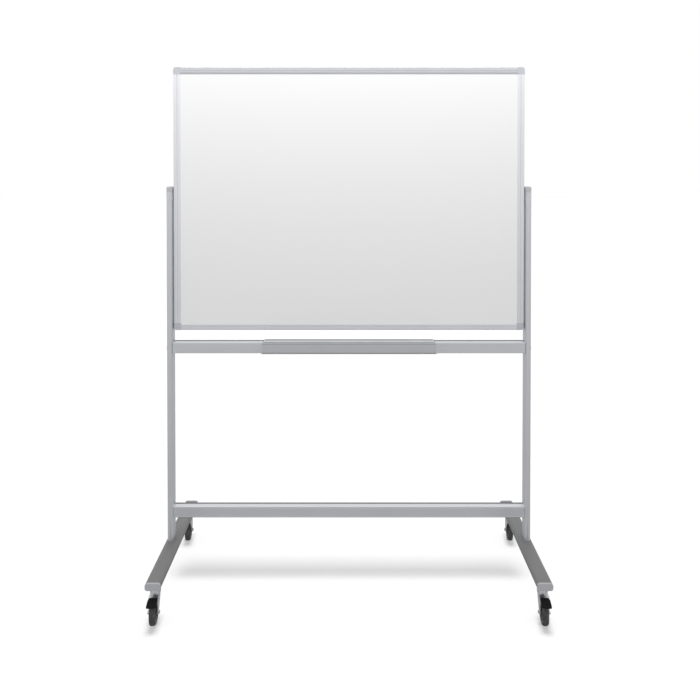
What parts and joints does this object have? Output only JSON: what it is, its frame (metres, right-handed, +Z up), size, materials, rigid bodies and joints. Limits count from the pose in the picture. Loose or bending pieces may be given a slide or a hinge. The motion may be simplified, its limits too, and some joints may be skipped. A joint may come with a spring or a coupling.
{
  "type": "rolling whiteboard",
  "caption": "Double-sided magnetic whiteboard that turns over between two posts, on a wheeled stand with a clip-on marker tray and braked swivel casters.",
  "frame": {"origin": "on the floor, under the middle of the stand", "axes": "+X to the right of a viewer in front, -Y is the front with the marker tray, +Z up"},
  "size_m": [1.2824, 0.6016, 1.789],
  "materials": {
    "frame_aluminium": "satin silver anodised extrusion",
    "tray_aluminium": "satin silver anodised extrusion",
    "rail_aluminium": "satin silver anodised extrusion",
    "light_plastic": "moulded, fine texture",
    "corner_plastic": "moulded, fine texture",
    "grey_plastic": "moulded, fine texture",
    "foot_steel": "grey powder coat, fine texture",
    "zinc": "bright zinc plated",
    "brass": "turned",
    "bush_plastic": "natural nylon",
    "black_screw": "black oxide",
    "knob_plastic": "black, fine texture",
    "enamel": "glossy white dry-wipe enamel on steel",
    "core_board": "pressed paper core",
    "hub_plastic": "dark grey moulded",
    "tyre_rubber": "dark grey rubber, moulded",
    "pedal_plastic": "black, fine texture"
  },
  "bodies": {
    "stand": {"post_left": "frame_aluminium", "post_cap_left": "light_plastic", "foot_left": "foot_steel", "foot_caps_left": "grey_plastic", "post_right": "frame_aluminium", "post_cap_right": "light_plastic", "foot_right": "foot_steel", "foot_caps_right": "grey_plastic", "upper_bar": "frame_aluminium", "lower_bar": "frame_aluminium", "joint_plugs": "zinc", "frame_bolts": "zinc", "bolt_covers": "light_plastic", "stem_nuts": "zinc", "marker_tray": "tray_aluminium", "tray_ends": "light_plastic", "tray_screws": "black_screw", "pivot_bushes": "bush_plastic", "clamp_nuts": "brass", "stem_front_left": "zinc", "stem_front_right": "zinc", "stem_rear_left": "zinc", "stem_rear_right": "zinc"},
    "board": {"rail_top": "rail_aluminium", "rail_bottom": "rail_aluminium", "rail_left": "rail_aluminium", "rail_right": "rail_aluminium", "corner_top_left": "corner_plastic", "corner_top_right": "corner_plastic", "corner_bottom_left": "corner_plastic", "corner_bottom_right": "corner_plastic", "sheet_front": "enamel", "sheet_rear": "enamel", "board_core": "core_board", "pivot_shaft_left": "zinc", "pivot_shaft_right": "zinc"},
    "clamp_screw_body_left": {"clamp_screw_left": "zinc"},
    "clamp_knob_body_left": {"clamp_knob_left": "knob_plastic"},
    "clamp_screw_body_right": {"clamp_screw_right": "zinc"},
    "clamp_knob_body_right": {"clamp_knob_right": "knob_plastic"},
    "swivel_front_left": {"fork_front_left": "zinc", "axle_front_left": "zinc"},
    "wheel_front_left": {"hub_front_left": "hub_plastic", "tyre_front_left": "tyre_rubber"},
    "brake_front_left": {"pedal_front_left": "pedal_plastic"},
    "swivel_front_right": {"fork_front_right": "zinc", "axle_front_right": "zinc"},
    "wheel_front_right": {"hub_front_right": "hub_plastic", "tyre_front_right": "tyre_rubber"},
    "brake_front_right": {"pedal_front_right": "pedal_plastic"},
    "swivel_rear_left": {"fork_rear_left": "zinc", "axle_rear_left": "zinc"},
    "wheel_rear_left": {"hub_rear_left": "hub_plastic", "tyre_rear_left": "tyre_rubber"},
    "brake_rear_left": {"pedal_rear_left": "pedal_plastic"},
    "swivel_rear_right": {"fork_rear_right": "zinc", "axle_rear_right": "zinc"},
    "wheel_rear_right": {"hub_rear_right": "hub_plastic", "tyre_rear_right": "tyre_rubber"},
    "brake_rear_right": {"pedal_rear_right": "pedal_plastic"}
  },
  "joints": [
    {"name": "board_flip", "type": "hinge", "parent": "stand", "child": "board", "pos_m": [0, 0, 1.332], "axis": [1, 0, 0], "continuous": true},
    {"name": "clamp_travel_left", "type": "slide", "parent": "stand", "child": "clamp_screw_body_left", "axis": [0, 1, 0], "range_m": [0, 0.0025]},
    {"name": "clamp_turn_left", "type": "hinge", "parent": "clamp_screw_body_left", "child": "clamp_knob_body_left", "pos_m": [-0.6225, 0.03, 1.332], "axis": [0, -1, 0], "range_deg": [0, 720]},
    {"name": "clamp_travel_right", "type": "slide", "parent": "stand", "child": "clamp_screw_body_right", "axis": [0, 1, 0], "range_m": [0, 0.0025]},
    {"name": "clamp_turn_right", "type": "hinge", "parent": "clamp_screw_body_right", "child": "clamp_knob_body_right", "pos_m": [0.6225, 0.03, 1.332], "axis": [0, -1, 0], "range_deg": [0, 720]},
    {"name": "caster_swivel_front_left", "type": "hinge", "parent": "stand", "child": "swivel_front_left", "pos_m": [-0.619, -0.22, 0.088], "axis": [0, 0, 1], "continuous": true},
    {"name": "wheel_roll_front_left", "type": "hinge", "parent": "swivel_front_left", "child": "wheel_front_left", "pos_m": [-0.61621, -0.25188, 0.0375], "axis": [0.9962, 0.0872, 0], "continuous": true},
    {"name": "brake_pedal_front_left", "type": "hinge", "parent": "swivel_front_left", "child": "brake_front_left", "pos_m": [-0.61604, -0.25387, 0.081], "axis": [-0.9962, -0.0872, 0], "range_deg": [0, 14]},
    {"name": "caster_swivel_front_right", "type": "hinge", "parent": "stand", "child": "swivel_front_right", "pos_m": [0.619, -0.22, 0.088], "axis": [0, 0, 1], "continuous": true},
    {"name": "wheel_roll_front_right", "type": "hinge", "parent": "swivel_front_right", "child": "wheel_front_right", "pos_m": [0.61621, -0.25188, 0.0375], "axis": [0.9962, -0.0872, 0], "continuous": true},
    {"name": "brake_pedal_front_right", "type": "hinge", "parent": "swivel_front_right", "child": "brake_front_right", "pos_m": [0.61604, -0.25387, 0.081], "axis": [-0.9962, 0.0872, 0], "range_deg": [0, 14]},
    {"name": "caster_swivel_rear_left", "type": "hinge", "parent": "stand", "child": "swivel_rear_left", "pos_m": [-0.619, 0.22, 0.088], "axis": [0, 0, 1], "continuous": true},
    {"name": "wheel_roll_rear_left", "type": "hinge", "parent": "swivel_rear_left", "child": "wheel_rear_left", "pos_m": [-0.62179, 0.25188, 0.0375], "axis": [0.9962, 0.0872, 0], "continuous": true},
    {"name": "brake_pedal_rear_left", "type": "hinge", "parent": "swivel_rear_left", "child": "brake_rear_left", "pos_m": [-0.62196, 0.25387, 0.081], "axis": [0.9962, 0.0872, 0], "range_deg": [0, 14]},
    {"name": "caster_swivel_rear_right", "type": "hinge", "parent": "stand", "child": "swivel_rear_right", "pos_m": [0.619, 0.22, 0.088], "axis": [0, 0, 1], "continuous": true},
    {"name": "wheel_roll_rear_right", "type": "hinge", "parent": "swivel_rear_right", "child": "wheel_rear_right", "pos_m": [0.62179, 0.25188, 0.0375], "axis": [0.9962, -0.0872, 0], "continuous": true},
    {"name": "brake_pedal_rear_right", "type": "hinge", "parent": "swivel_rear_right", "child": "brake_rear_right", "pos_m": [0.62196, 0.25387, 0.081], "axis": [0.9962, -0.0872, 0], "range_deg": [0, 14]}
  ],
  "couplings": [
    {"joint": "clamp_turn_left", "follows": "clamp_travel_left", "rad_per_m": 5026.5},
    {"joint": "clamp_turn_right", "follows": "clamp_travel_right", "rad_per_m": 5026.5}
  ]
}
